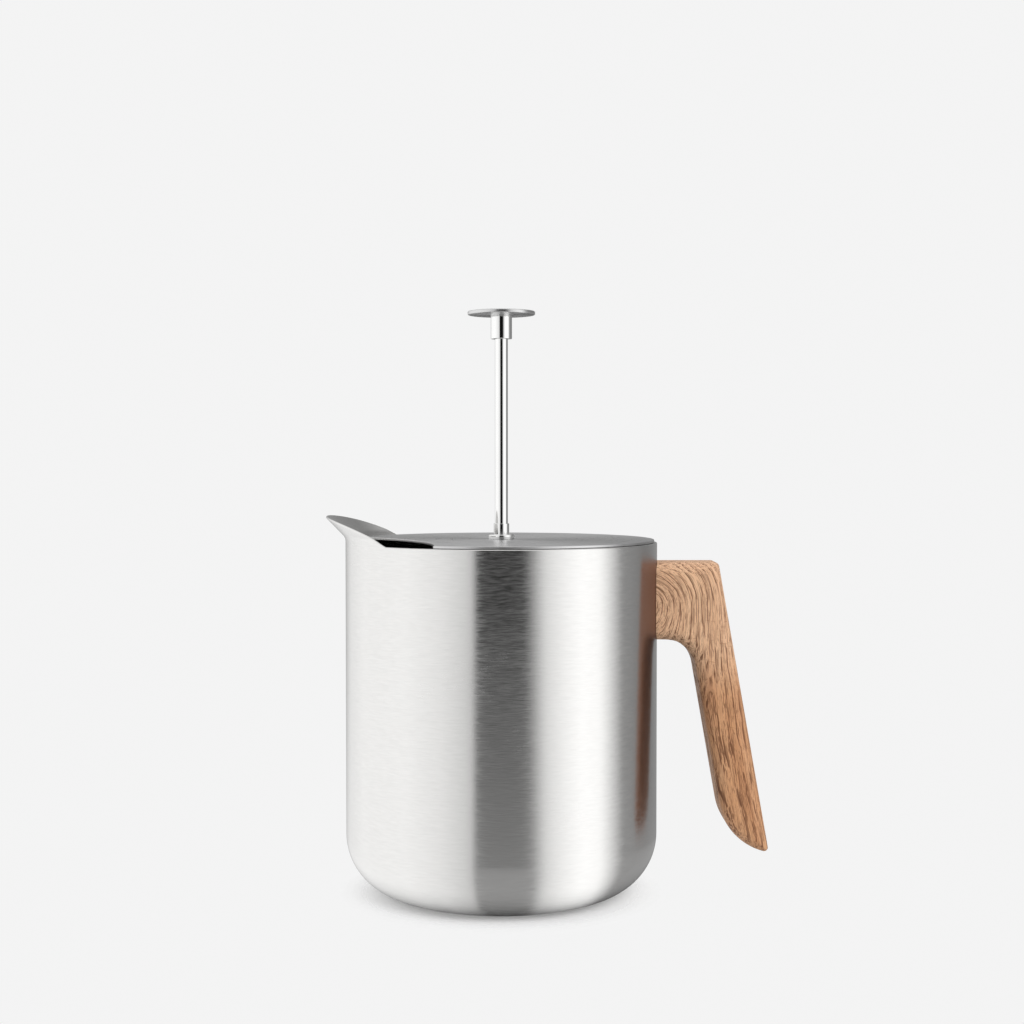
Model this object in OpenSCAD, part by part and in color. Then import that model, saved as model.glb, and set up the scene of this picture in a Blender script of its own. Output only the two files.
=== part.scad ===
// French press: a double-walled steel jug with an oak handle, a loose steel lid with a pouring
// notch, and a plunger that carries a black filter ring. Millimetres, +Z up. The origin is the
// centre of the jug's base. The spout points along -X and the handle along +X. The model shows
// the press put together, with the lid on the rim and the plunger pulled all the way up.

/* [Jug] */
// Height of the rim above the table
jug_h = 135; // [125:1:145]
// Outside radius of the jug
shell_r = 60; // [59:0.5:61]
// Inside radius of the straight part of the bore
bore_r = 52.6; // [52:0.1:53]
// Thickness of the jug's steel sheet
sheet_t = 0.8; // [0.6:0.1:1]
// Radius of the jug's bottom corner
base_corner_r = 23; // [18:1:26]
// Height of the inside floor
floor_z = 10; // [9:0.5:14]
// Height below the rim where the bore starts to flare out
mouth_depth = 17; // [15:0.5:20]

/* [Spout] */
// Half of the angle that the spout spans
spout_half_angle = 46; // [40:1:50]
// Height of the spout's tip above the rim
spout_rise = 9.8; // [8:0.2:12]
// Lean of the spout's sheet from vertical
spout_lean = 44; // [38:1:46]
// Radius of the spout's top edge, seen from the side
spout_edge_r = 110; // [60:5:150]

/* [Handle] */
// Width of the oak handle
handle_w = 24; // [23:1:26]
// Thickness of the grip, seen from the side
grip_t = 15.6; // [14:0.2:18]
// Lean of the grip from vertical
grip_lean = 10; // [8:0.2:11]
// Radius of the long rounded edges
handle_edge_r = 5; // [3:0.5:6]
// Height of the arm where it meets the jug
arm_h = 29.6; // [28:0.2:32]
// Drop of the arm's top edge below the rim
arm_drop = 7.5; // [6:0.5:12]

/* [Lid] */
// Radius of the lid plate
lid_r = 58.9; // [58.7:0.1:58.9]
// Thickness of the lid plate
lid_t = 1; // [0.8:0.1:1]
// Radius of the round bite that forms the pouring notch
notch_r = 91.5; // [85:0.5:100]
// Distance from the lid's centre to the deepest point of the notch
notch_depth_r = 34.7; // [30:0.5:38]
// Turn of the notch away from the spout, towards the user
notch_turn = 24; // [0:1:40]

/* [Plunger] */
// Radius of the plunger rod
rod_r = 2.5; // [2.4:0.1:2.5]
// Height of the knob's underside above the lid's underside
knob_z = 87.4; // [87:0.2:92]
// Radius of the knob disc
knob_r = 13; // [10:0.5:16]
// Depth of the filter's bottom below the lid's underside, with the plunger up
filter_drop = 38.5; // [38:0.5:40]
// Gap between the silicone lip and the bore
lip_gap = 0.15; // [0.1:0.05:0.3]

/* [Hidden] */
$fn = 96;
eps = 0.01;
lap = 0.02;
fit = 0.05;                                  // running clearance between fitted pieces

// Jug
inner_corner_r = base_corner_r - 7;
base_opening_r = 33;                         // opening in the shell that the base plate closes
base_lap = 3.5;                              // how far the base plate's lip laps the shell
mouth_bend_r = 25;                           // first bend of the flared mouth
mouth_lean = 18;                             // lean of the flared mouth from vertical
rim_roll_r = 2;                              // bend from the flared mouth to the flat rim
weld_gap = 0.05;                             // seam between the two shells at the rim
shell_in_r = shell_r - sheet_t;

// Spout
spout_bend_r = 3;
bend_steps = 8;
spout_start = 0.7;                           // straight stretch above the rim
spout_overlap = 1;                           // how far the spout's section runs into the wall
spout_root_x = -shell_r * cos(spout_half_angle);
spout_tip_x = -(shell_r + spout_bend_r * (1 - cos(spout_lean))
                + (spout_rise - spout_start - spout_bend_r * sin(spout_lean)) * tan(spout_lean));
chord_x = spout_tip_x - spout_root_x;
chord_l = norm([chord_x, spout_rise]);
edge_back = sqrt(pow(spout_edge_r, 2) - pow(chord_l / 2, 2));
edge_cx = (spout_root_x + spout_tip_x) / 2 - edge_back * spout_rise / chord_l;
edge_cz = jug_h + spout_rise / 2 + edge_back * chord_x / chord_l;

// Handle: lines are given by their distance along the grip's outward normal and along its length
arm_top = jug_h - arm_drop;
arm_bottom = arm_top - arm_h;
grip_out = 104;                              // distance of the outer face from the origin
grip_in = grip_out - grip_t;
arm_fillet_r = 12;                           // hollow corner under the arm
arm_corner_r = 1.8;                           // outer top corner
toe_r = 23;                                  // large round at the grip's lower inside
toe_end = 3.4;                               // how far the grip's end reaches along its length
toe_corner_r = 1.5;                          // small round at the grip's lowest point
handle_root = 8;                             // stretch of the arm that the jug's hollow cuts off
sharp_r = 0.3;                               // smallest round left where the outline moves in
edge_steps = 6;
corner_steps = 10;
toe_steps = 12;
tip_start = 10;                              // the small round starts this far past the toe's end
handle_gap = 0.1;                            // seam between the oak and the jug

// Handle bracket and its screws
saddle_t = 1.4;
saddle_w = 18;
saddle_h = 20;
saddle_z = 101;
tongue_l = 19;
tongue_w = 16;
tongue_t = 4;
tongue_z = 108;
pocket_gap = 0.2;
tongue_end_gap = 0.3;
screw_x = 67;
screw_y = 5;
screw_r = 2;                                 // M4
screw_head_r = 3.5;
screw_head_h = 2.4;
screw_seat_z = 100.5;
screw_l = 12.6;
screw_end_gap = 1.5;                         // depth of the screw hole past the screw's end
hex_key_r = 1.45;
hex_key_depth = 1.3;

// Lid and rod guide
lid_gap = 0.1;                               // the lid rests on the rim with a hair of clearance
lid_z = jug_h + lid_gap;
guide_r = 3;
guide_down = 12;                             // length of the guide below the lid
guide_up = 7;                                // length of the guide above the lid's underside
collar_r = 4.5;
collar_tip_r = 3.6;
collar_h = 1.7;
nut_r = 5;
nut_h = 1.8;
nut_chamfer = 0.4;
notch_c = notch_depth_r + notch_r;

// Knob
knob_t = 1.4;
knob_edge_r = 0.4;
sleeve_r = 4.1;
sleeve_in_r = 3.3;
sleeve_l = 9.2;
boss_l = 4.5;
knob_bottom = jug_h + knob_z;

// Filter, from its bottom face up
filter_z = jug_h - filter_drop;
filter_h = 13;
grid_flange_r = 51.8;
grid_opening_r = 46.3;
grid_flange_h = 2.8;
grid_h = 4.5;                                // height of the collar that the mesh lies on
core_r = 49.9;                               // radius of the core that carries the silicone seal
web_t = 1.2;                                 // thickness of the lower hub and spokes
spokes = 6;
spoke_w = 3.2;
spoke_root = 1;                              // how far a spoke runs into the hub
spoke_tip = 0.5;                             // how far it runs into the ring
grid_hub_r = 8;
mesh_t = 0.35;
plate_t = 0.5;
band_h = 4.2;                                // height of the frame's wide top band
band_r = 52;
band_draft = 0.3;
band_in_r = 48.4;
band_chamfer = 1;                            // on the inside of the top edge
frame_hub_r = 7;
frame_hub_h = 5;
frame_spoke_t = 3;
seal_upper_r = 51.3;
seal_lower_r = 51;
seal_groove = 0.3;                           // grooves above and below the seal
lip_r = bore_r - lip_gap;
lip_t = 0.5;
lip_z = 5.1;                                 // height of the lip's edge above the bottom face
lip_slope = 0.7;
hub_r = 3.9;
hub_round = 0.8;
washer_r = 7;
washer_t = 0.7;
clamp_nut_af = 8;
clamp_nut_h = 2.3;
mesh_z = filter_z + grid_h;
plate_z = mesh_z + mesh_t;
frame_z = plate_z + plate_t;
frame_top = filter_z + filter_h;
frame_hub_top = frame_z + frame_hub_h;
grid_hub_z = mesh_z - web_t;
washer_z = grid_hub_z - washer_t;
clamp_nut_z = washer_z - clamp_nut_h;
plate_rings = [[12.5, 8], [20, 14], [27.5, 20], [35, 26], [42, 32]];   // radius and count
plate_hole_r = 2;

function arc_points(c, r, a0, a1, steps) =
    [for (i = [0:steps]) let (a = a0 + (a1 - a0) * i / steps) c + r * [cos(a), sin(a)]];

// A round stretch of sheet: centre, inner and outer radius, first and last angle (under 180 apart)
module sheet_bend(c, r_in, r_out, a0, a1) {
    reach = 2 * r_out;
    mid = (a0 + a1) / 2;
    translate(c) intersection() {
        difference() {
            circle(r_out);
            circle(r_in);
        }
        polygon([[0, 0], reach * [cos(a0), sin(a0)], reach * 1.5 * [cos(mid), sin(mid)],
                 reach * [cos(a1), sin(a1)]]);
    }
}

// A flat stretch of sheet from p on, leaning from vertical, its thickness to the right; it laps
// the bends at its ends by a hair, so that they join into one sheet
module sheet_flat(p, lean, length, t) {
    translate(p) rotate(-lean) translate([0, -lap]) square([t, length + 2 * lap]);
}

module ring_2d(r_in, r_out, z0, z1) {
    translate([r_in, z0]) square([r_out - r_in, z1 - z0]);
}

// Outer shell: straight wall, rounded bottom corner and the spout drawn up out of the rim
module outer_shell() {
    color("silver") {
        rotate_extrude() {
            ring_2d(shell_in_r, shell_r, base_corner_r, jug_h);
            sheet_bend([shell_r - base_corner_r, base_corner_r],
                       base_corner_r - sheet_t, base_corner_r, 270, 360);
            ring_2d(base_opening_r, shell_r - base_corner_r, 0, sheet_t);
        }
        intersection() {
            rotate_extrude() spout_section();
            translate([edge_cx, 0, edge_cz]) rotate([90, 0, 0])
                cylinder(r = spout_edge_r, h = 3 * shell_r, center = true);
        }
    }
}

module spout_section() {
    bend_c = [shell_r + spout_bend_r, jug_h + spout_start];
    slope = 2 * spout_rise * [sin(spout_lean), cos(spout_lean)];
    outside = arc_points(bend_c, spout_bend_r, 180, 180 - spout_lean, bend_steps);
    inside = arc_points(bend_c, spout_bend_r + sheet_t, 180 - spout_lean, 180, bend_steps);
    polygon(concat([[shell_r, jug_h - spout_overlap]], outside, [outside[bend_steps] + slope],
                   [inside[0] + slope], inside, [[shell_in_r, jug_h - spout_overlap]]));
}

// Inner shell: floor, rounded corner, straight bore and a mouth that flares out to the flat rim
module inner_shell() {
    flare_z = jug_h - mouth_depth;
    bend_c = [bore_r + mouth_bend_r, flare_z];
    bend_end = bend_c + mouth_bend_r * [-cos(mouth_lean), sin(mouth_lean)];
    roll_rise = rim_roll_r * (1 - sin(mouth_lean));
    lean_l = (jug_h - roll_rise - bend_end[1]) / cos(mouth_lean);
    roll_start = bend_end + lean_l * [sin(mouth_lean), cos(mouth_lean)];
    roll_c = roll_start + rim_roll_r * [cos(mouth_lean), -sin(mouth_lean)];
    color("lightgray") rotate_extrude() {
        ring_2d(0, bore_r - inner_corner_r, floor_z - sheet_t, floor_z);
        sheet_bend([bore_r - inner_corner_r, floor_z + inner_corner_r],
                   inner_corner_r, inner_corner_r + sheet_t, 270, 360);
        ring_2d(bore_r, bore_r + sheet_t, floor_z + inner_corner_r, flare_z);
        sheet_bend(bend_c, mouth_bend_r - sheet_t, mouth_bend_r, 180 - mouth_lean, 180);
        sheet_flat(bend_end, mouth_lean, lean_l, sheet_t);
        sheet_bend(roll_c, rim_roll_r - sheet_t, rim_roll_r, 90, 180 - mouth_lean);
        ring_2d(roll_c[0], shell_in_r - weld_gap, jug_h - sheet_t, jug_h);
    }
}

// Base plate: a flat disc welded into the shell's bottom opening, with a lip that laps the shell
module base_plate() {
    color("silver") rotate_extrude() {
        ring_2d(0, base_opening_r - fit, 0, sheet_t + fit);
        ring_2d(0, base_opening_r + base_lap, sheet_t + fit, 2 * sheet_t);
    }
}

// Bracket: a curved saddle welded to the jug, with a tongue that is hidden in the oak
module handle_bracket() {
    color("gray") difference() {
        union() {
            intersection() {
                difference() {
                    cylinder(r = shell_r + saddle_t, h = jug_h);
                    translate([0, 0, -eps]) cylinder(r = shell_r + fit, h = jug_h + 2 * eps);
                }
                translate([0, -saddle_w / 2, saddle_z]) cube([2 * shell_r, saddle_w, saddle_h]);
            }
            translate([shell_r + saddle_t / 2, -tongue_w / 2, tongue_z])
                cube([tongue_l, tongue_w, tongue_t]);
        }
        for (side = [-1, 1])
            translate([screw_x, side * screw_y, tongue_z - eps])
                cylinder(r = screw_r + fit / 2, h = tongue_t + 2 * eps);
    }
}

// A point from its distance along the grip's outward normal and along the grip's length
function grip_point(along_n, along_d) =
    [along_n * cos(grip_lean) + along_d * sin(grip_lean),
     along_n * sin(grip_lean) - along_d * cos(grip_lean)];
// Where the line at distance along_n from the origin, parallel to the grip, passes height z
function grip_line_x(along_n, z) = (along_n - z * sin(grip_lean)) / cos(grip_lean);

// The handle's outline in the XZ plane, moved inwards by inset
function handle_outline(inset) =
    let (root_x = shell_r - handle_root,
         corner_r = max(arm_corner_r - inset, sharp_r),
         tip_r = max(toe_corner_r - inset, sharp_r),
         corner_z = arm_top - inset - corner_r,
         corner_c = [grip_line_x(grip_out - inset - corner_r, corner_z), corner_z],
         fillet_z = arm_bottom - arm_fillet_r,
         fillet_c = [grip_line_x(grip_in - arm_fillet_r, fillet_z), fillet_z],
         toe_c = grip_point(grip_in + toe_r, toe_end - toe_r),
         tip_reach = toe_r - inset - tip_r,
         tip_turn = asin((toe_r - grip_t + inset + tip_r) / tip_reach),
         tip_a = grip_lean - 90 - tip_turn,
         tip_c = toe_c + tip_reach * [cos(tip_a), sin(tip_a)])
    concat([[root_x, arm_bottom + inset]],
           arc_points(fillet_c, arm_fillet_r + inset, 90, grip_lean, corner_steps),
           arc_points(toe_c, toe_r - inset, grip_lean - 180, tip_a, toe_steps),
           arc_points(tip_c, tip_r, tip_a + tip_start, grip_lean, toe_steps),
           arc_points(corner_c, corner_r, grip_lean, 90, corner_steps),
           [[root_x, arm_top - inset]]);

// Handle: one piece of oak, its long edges rounded, its end hollowed to sit on the jug
module handle() {
    edge = [for (i = [0:edge_steps]) let (a = 90 * i / edge_steps)
        [handle_w / 2 - handle_edge_r * (1 - cos(a)), handle_edge_r * (1 - sin(a))]];
    layers = concat([for (e = edge) [-e[0], e[1]]],
                    [for (i = [edge_steps:-1:0]) [edge[i][0], edge[i][1]]]);
    color("peru") difference() {
        handle_body(layers);
        cylinder(r = shell_r + handle_gap, h = jug_h);
        intersection() {
            cylinder(r = shell_r + saddle_t + pocket_gap, h = jug_h);
            translate([0, -saddle_w / 2 - pocket_gap, saddle_z - pocket_gap])
                cube([2 * shell_r, saddle_w + 2 * pocket_gap, saddle_h + 2 * pocket_gap]);
        }
        translate([shell_r, -tongue_w / 2 - pocket_gap, tongue_z - pocket_gap])
            cube([saddle_t / 2 + tongue_l + tongue_end_gap, tongue_w + 2 * pocket_gap,
                  tongue_t + 2 * pocket_gap]);
        for (side = [-1, 1]) translate([screw_x, side * screw_y, 0]) {
            translate([0, 0, arm_bottom - arm_fillet_r])
                cylinder(r = screw_head_r + pocket_gap, h = screw_seat_z + arm_fillet_r - arm_bottom);
            translate([0, 0, screw_seat_z - eps])
                cylinder(r = screw_r + pocket_gap, h = screw_l + screw_end_gap);
        }
    }
}

// Skins the layers of outlines; each end is closed by strips from the inside edge to the outside
module handle_body(layers) {
    outlines = [for (layer = layers) handle_outline(layer[1])];
    n = len(outlines[0]);
    top = (len(layers) - 1) * n;
    points = [for (k = [0:len(layers) - 1]) for (p = outlines[k]) [p[0], layers[k][0], p[1]]];
    sides = [for (k = [0:len(layers) - 2]) for (i = [0:n - 1])
        let (j = (i + 1) % n) [k * n + i, k * n + j, (k + 1) * n + j, (k + 1) * n + i]];
    ends = [for (i = [0:n / 2 - 2]) [i, i + 1, n - 2 - i, n - 1 - i]];
    polyhedron(points, concat(sides, [for (e = ends) [e[3], e[2], e[1], e[0]]],
                              [for (e = ends) [for (i = e) top + i]]));
}

// Two socket-head screws that pull the oak onto the bracket's tongue from below
module handle_screws() {
    color("dimgray") for (side = [-1, 1])
        translate([screw_x, side * screw_y, screw_seat_z]) difference() {
            union() {
                cylinder(r = screw_r, h = screw_l);
                translate([0, 0, -screw_head_h]) cylinder(r = screw_head_r, h = screw_head_h);
            }
            translate([0, 0, -screw_head_h - eps])
                cylinder(r = hex_key_r, h = hex_key_depth + eps, $fn = 6);
        }
}

// Guide tube: fixed in the lid, it keeps the rod upright
module guide_tube() {
    color("gainsboro") translate([0, 0, lid_z - guide_down]) difference() {
        cylinder(r = guide_r, h = guide_down + guide_up);
        translate([0, 0, -eps]) cylinder(r = rod_r + fit, h = guide_down + guide_up + 2 * eps);
    }
}

// Collar: a small cone under the lid
module guide_collar() {
    color("gainsboro") rotate_extrude()
        polygon([[guide_r + fit / 2, lid_z - fit], [collar_r, lid_z - fit],
                 [collar_tip_r, lid_z - collar_h], [guide_r + fit / 2, lid_z - collar_h]]);
}

// Nut: holds the guide to the lid from above
module guide_nut() {
    bottom = lid_z + lid_t + fit;
    color("gainsboro") rotate_extrude()
        polygon([[guide_r + fit / 2, bottom], [nut_r, bottom], [nut_r, bottom + nut_h - nut_chamfer],
                 [nut_r - nut_chamfer, bottom + nut_h], [guide_r + fit / 2, bottom + nut_h]]);
}

// Lid plate: a flat disc with a round bite out of it for pouring
module lid_plate() {
    color("darkgray") translate([0, 0, lid_z]) difference() {
        cylinder(r = lid_r, h = lid_t);
        translate([0, 0, -eps]) cylinder(r = guide_r + fit, h = lid_t + 2 * eps);
        rotate(180 + notch_turn) translate([notch_c, 0, -eps])
            cylinder(r = notch_r, h = lid_t + 2 * eps);
    }
}

// Rod: runs from the knob, through the lid's guide, to the nut under the filter
module plunger_rod() {
    color("gainsboro") translate([0, 0, clamp_nut_z])
        cylinder(r = rod_r, h = knob_bottom - clamp_nut_z);
}

// Knob: a thin flat disc with a softened edge
module knob_disc() {
    color("gainsboro") translate([0, 0, knob_bottom]) rotate_extrude() knob_section();
}

// Half of the knob's cross-section, its rim rounded above and below
module knob_section() {
    ring_2d(0, knob_r - knob_edge_r, 0, knob_t);
    ring_2d(knob_r - knob_edge_r, knob_r, knob_edge_r, knob_t - knob_edge_r);
    for (z = [knob_edge_r, knob_t - knob_edge_r])
        translate([knob_r - knob_edge_r, z]) circle(knob_edge_r);
}

// Sleeve: an open tube under the knob, which slips over the guide when the plunger is down
module knob_sleeve() {
    color("gainsboro") translate([0, 0, knob_bottom - sleeve_l]) difference() {
        cylinder(r = sleeve_r, h = sleeve_l);
        translate([0, 0, -eps]) cylinder(r = sleeve_in_r, h = sleeve_l + 2 * eps);
    }
}

// Boss: the threaded ring inside the sleeve that the rod screws into
module knob_boss() {
    color("gray") translate([0, 0, knob_bottom - boss_l]) difference() {
        cylinder(r = sleeve_in_r - fit / 2, h = boss_l);
        translate([0, 0, -eps]) cylinder(r = rod_r + fit / 2, h = boss_l + 2 * eps);
    }
}

// Filter hub: a long sleeve nut with a rounded shoulder; the guide's end is its upper stop
module filter_hub() {
    hub_top = lid_z - guide_down - fit;
    color("gainsboro") rotate_extrude() {
        ring_2d(rod_r + fit / 2, hub_r, frame_hub_top, hub_top - hub_round);
        ring_2d(rod_r + fit / 2, hub_r - hub_round, hub_top - hub_round, hub_top);
        intersection() {
            translate([hub_r - hub_round, hub_top - hub_round]) circle(hub_round);
            ring_2d(hub_r - hub_round, hub_r, hub_top - hub_round, hub_top);
        }
    }
}

module spoke_wheel(z, t, r_in, r_out) {
    for (i = [0:spokes - 1]) rotate(360 / spokes * i)
        translate([r_in, -spoke_w / 2, z]) cube([r_out - r_in, spoke_w, t]);
}

// Filter frame: the black upper ring with its wide band, spokes and hub
module filter_frame() {
    band_z = frame_top - band_h;
    color("black") {
        rotate_extrude() {
            ring_2d(band_in_r, core_r, frame_z, band_z + eps);
            polygon([[band_in_r, band_z], [band_r - band_draft, band_z], [band_r, frame_top],
                     [band_in_r + band_chamfer, frame_top], [band_in_r, frame_top - band_chamfer]]);
            ring_2d(rod_r + fit, frame_hub_r, frame_z, frame_hub_top);
        }
        spoke_wheel(frame_z, frame_spoke_t, frame_hub_r - spoke_root, band_in_r + spoke_tip);
    }
}

// Seal: a silicone ring clamped round the core, with a thin lip that wipes the jug's bore
module seal_ring() {
    top = frame_top - band_h - seal_groove;
    bottom = filter_z + grid_flange_h + seal_groove;
    edge = filter_z + lip_z;
    color("dimgray") rotate_extrude()
        polygon([[core_r + fit, bottom], [seal_lower_r, bottom],
                 [seal_lower_r, edge + lip_slope], [lip_r, edge],
                 [lip_r, edge + lip_t], [seal_upper_r, edge + lip_slope + lip_t],
                 [seal_upper_r, top], [core_r + fit, top]]);
}

// Mesh: the fine woven steel disc that holds the grounds back
module filter_mesh() {
    color("lightslategray") translate([0, 0, mesh_z]) difference() {
        cylinder(r = core_r - fit, h = mesh_t);
        translate([0, 0, -eps]) cylinder(r = rod_r + fit, h = mesh_t + 2 * eps);
    }
}

// Spreader: a punched steel disc that keeps the mesh flat
module spreader_plate() {
    color("silver") translate([0, 0, plate_z]) difference() {
        cylinder(r = core_r - fit, h = plate_t);
        translate([0, 0, -eps]) cylinder(r = rod_r + fit, h = plate_t + 2 * eps);
        for (ring = plate_rings) for (i = [0:ring[1] - 1])
            rotate(360 / ring[1] * i) translate([ring[0], 0, -eps])
                cylinder(r = plate_hole_r, h = plate_t + 2 * eps, $fn = 24);
    }
}

// Grid: the black lower ring, with spokes under the mesh
module filter_grid() {
    color("black") {
        rotate_extrude() {
            ring_2d(grid_opening_r, grid_flange_r, filter_z, filter_z + grid_flange_h);
            ring_2d(grid_opening_r, core_r, filter_z + grid_flange_h - eps, mesh_z);
            ring_2d(rod_r + fit, grid_hub_r, grid_hub_z, mesh_z);
        }
        spoke_wheel(grid_hub_z, web_t, grid_hub_r - spoke_root, grid_opening_r + spoke_tip);
    }
}

module clamp_washer() {
    color("silver") translate([0, 0, washer_z]) difference() {
        cylinder(r = washer_r, h = washer_t);
        translate([0, 0, -eps]) cylinder(r = rod_r + fit, h = washer_t + 2 * eps);
    }
}

// Thin hexagon nut that clamps the filter's pieces; it is undone for cleaning
module clamp_nut() {
    color("silver") translate([0, 0, clamp_nut_z]) difference() {
        cylinder(r = clamp_nut_af / sqrt(3), h = clamp_nut_h, $fn = 6);
        translate([0, 0, -eps]) cylinder(r = rod_r + fit / 2, h = clamp_nut_h + 2 * eps);
    }
}

outer_shell();
inner_shell();
base_plate();
handle_bracket();
handle();
handle_screws();
guide_tube();
guide_collar();
guide_nut();
lid_plate();
plunger_rod();
knob_disc();
knob_sleeve();
knob_boss();
filter_hub();
filter_frame();
seal_ring();
filter_mesh();
spreader_plate();
filter_grid();
clamp_washer();
clamp_nut();
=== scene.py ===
import math

import bmesh
import bpy
from mathutils import Matrix, Vector


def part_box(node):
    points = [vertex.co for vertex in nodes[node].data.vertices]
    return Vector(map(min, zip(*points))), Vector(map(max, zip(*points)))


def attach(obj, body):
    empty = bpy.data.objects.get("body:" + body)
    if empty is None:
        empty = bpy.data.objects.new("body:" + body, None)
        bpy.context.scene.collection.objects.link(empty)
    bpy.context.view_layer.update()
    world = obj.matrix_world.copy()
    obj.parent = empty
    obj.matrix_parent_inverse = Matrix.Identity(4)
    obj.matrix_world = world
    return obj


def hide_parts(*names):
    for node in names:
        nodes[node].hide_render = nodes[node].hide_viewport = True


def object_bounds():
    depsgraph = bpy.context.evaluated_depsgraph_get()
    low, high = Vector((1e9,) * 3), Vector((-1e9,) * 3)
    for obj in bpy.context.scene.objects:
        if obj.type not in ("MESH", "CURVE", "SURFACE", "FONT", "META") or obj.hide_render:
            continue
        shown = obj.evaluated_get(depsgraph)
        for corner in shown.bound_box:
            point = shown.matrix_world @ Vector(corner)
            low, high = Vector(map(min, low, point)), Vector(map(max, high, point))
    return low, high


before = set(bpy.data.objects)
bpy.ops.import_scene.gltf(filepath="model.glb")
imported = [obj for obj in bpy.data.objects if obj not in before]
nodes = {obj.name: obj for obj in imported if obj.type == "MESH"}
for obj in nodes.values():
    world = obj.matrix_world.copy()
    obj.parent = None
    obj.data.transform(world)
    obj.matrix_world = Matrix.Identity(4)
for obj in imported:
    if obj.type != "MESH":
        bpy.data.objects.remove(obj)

MM = 0.001
cad_low, cad_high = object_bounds()

# ---------------------------------------------------------------------------------------------
# The studio: a press on a pale table, seen level with its rim from the side, with the spout on
# the left. A white room lights it, bright on the left, with one narrow dark gap ahead of the
# press, which brushed and polished steel show as a dark upright band.
# ---------------------------------------------------------------------------------------------
rim_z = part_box("inner_shell")[1].z
studio_white = 0.902
camera_right = 4.1 * MM
camera_back = 644 * MM
camera_over_rim = 31.2 * MM
camera_dip = 1.75
table_gap = 0.05 * MM

camera_data = bpy.data.cameras.new("studio_camera")
camera_data.sensor_width = 36
camera_data.lens = 58.6
camera = bpy.data.objects.new("studio_camera", camera_data)
bpy.context.scene.collection.objects.link(camera)
camera.location = (camera_right, -camera_back, rim_z + camera_over_rim)
camera.rotation_euler = (math.radians(90 - camera_dip), 0, 0)
bpy.context.scene.camera = camera
bpy.context.scene.view_settings.view_transform = "Standard"
bpy.context.scene.view_settings.look = "None"


def add_node(tree, kind, inputs=(), **settings):
    """A node of that kind; inputs gives a value, or an output socket to link from, per socket."""
    node = tree.nodes.new(kind)
    for key, value in settings.items():
        setattr(node, key, value)
    for key, value in dict(inputs).items():
        if isinstance(value, bpy.types.NodeSocket):
            tree.links.new(value, node.inputs[key])
        else:
            node.inputs[key].default_value = value
    return node


def maths(tree, operation, a, b=0.0, clamp=False):
    return add_node(tree, "ShaderNodeMath", {0: a, 1: b}, operation=operation, use_clamp=clamp).outputs[0]


def scaled(tree, value, by, plus):
    """A value multiplied by one number, and another added."""
    return add_node(tree, "ShaderNodeMath", {0: value, 1: by, 2: plus}, operation="MULTIPLY_ADD").outputs[0]


def mix(tree, amount, under, over, how="MIX"):
    """One colour laid over another by an amount."""
    return add_node(tree, "ShaderNodeMix", {"Factor": amount, "A": under, "B": over},
                    data_type="RGBA", blend_type=how).outputs["Result"]


def axes_of(tree, place):
    """The x, y and z of a place."""
    return tuple(add_node(tree, "ShaderNodeSeparateXYZ", {0: place}).outputs)


def ramp(tree, value, stops, interpolation="LINEAR"):
    """A colour ramp from (place, grey or colour) stops."""
    node = add_node(tree, "ShaderNodeValToRGB", {"Fac": value})
    node.color_ramp.interpolation = interpolation
    band = node.color_ramp.elements
    while len(band) < len(stops):
        band.new(0.5)
    for element, (place, colour) in zip(band, stops):
        element.position = place
        element.color = (*colour, 1) if isinstance(colour, tuple) else (colour, colour, colour, 1)
    return node.outputs["Color"]


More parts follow.
